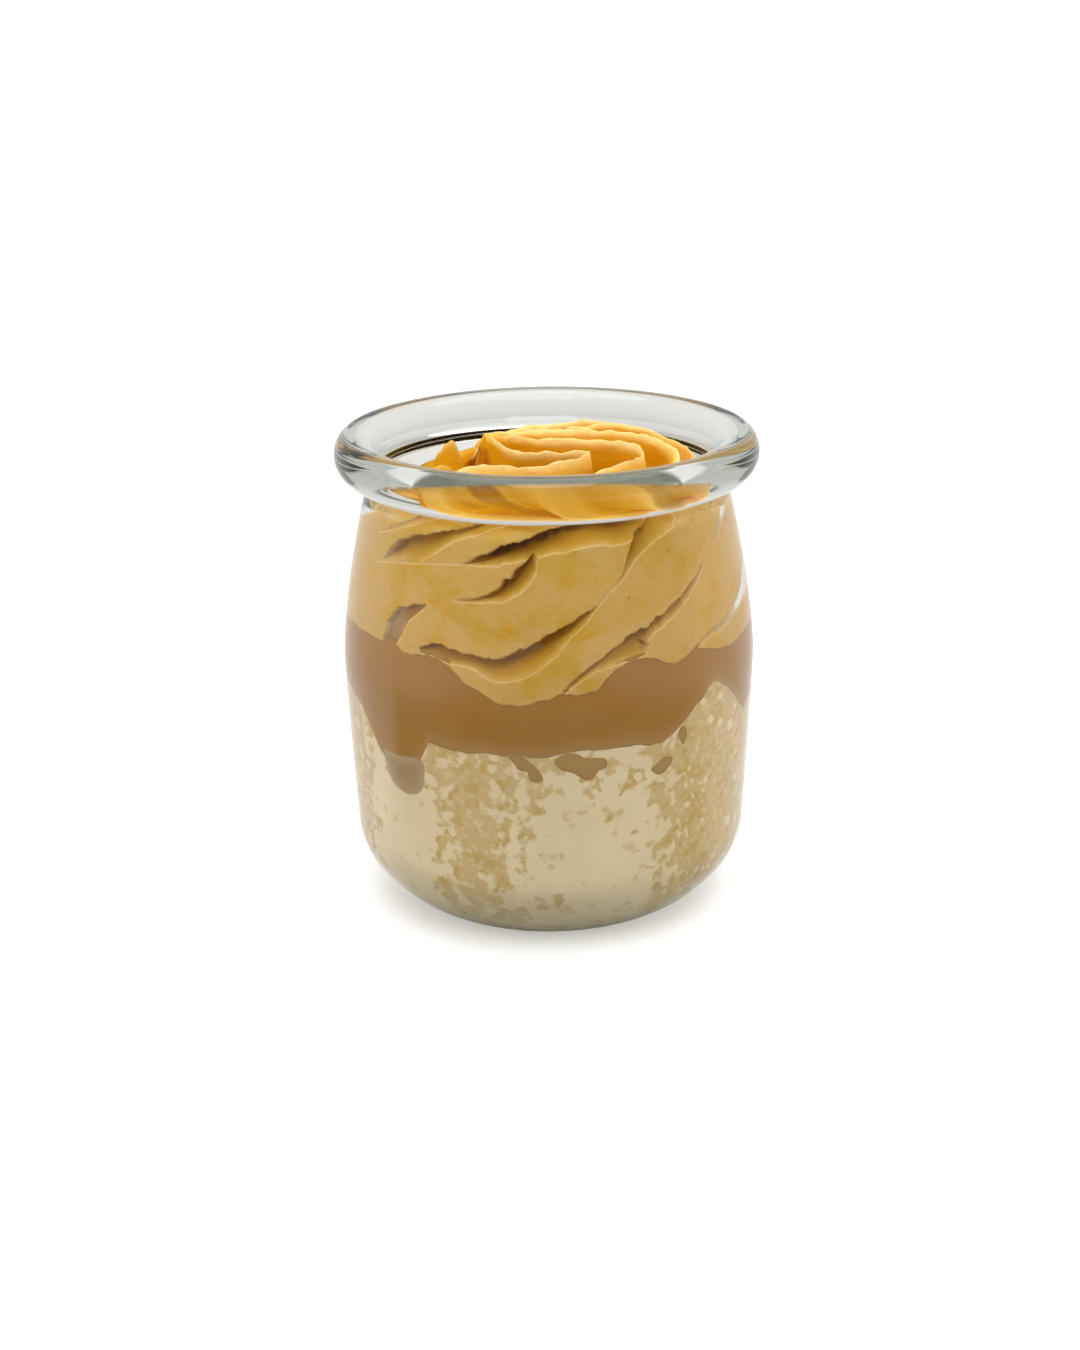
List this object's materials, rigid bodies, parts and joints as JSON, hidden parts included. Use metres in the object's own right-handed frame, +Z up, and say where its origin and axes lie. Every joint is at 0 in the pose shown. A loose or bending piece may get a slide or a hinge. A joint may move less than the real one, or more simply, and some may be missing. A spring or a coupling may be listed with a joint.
{
  "type": "lucuma tiramisu in a glass jar",
  "caption": "Layered dessert in a round glass jar with a thick rim: soaked sponge, milk cream, caramel and a piped swirl of lucuma cream.",
  "frame": {"origin": "centre of the flat disc under the jar's base, on the table", "axes": "+Z up the jar's axis; -Y faces the side that the picture shows; +X to that side's right"},
  "size_m": [0.07, 0.07, 0.0817],
  "materials": {
    "jar_glass": "clear moulded soda glass, smooth, faintly green where it is thick",
    "milk_cream": "food: smooth pale milk cream, soft sheen behind glass",
    "sponge_cake": "food: wet porous sponge crumb, pale buff with yellow pores",
    "caramel": "food: smooth milk caramel, even light brown",
    "lucuma_cream": "food: whipped lucuma cream, fine grained, yellow orange, darker in its valleys"
  },
  "bodies": {
    "root": {"glass_jar": "jar_glass", "milk_cream": "milk_cream", "sponge_cake": "sponge_cake", "caramel": "caramel", "lucuma_cream": "lucuma_cream"}
  },
  "joints": []
}
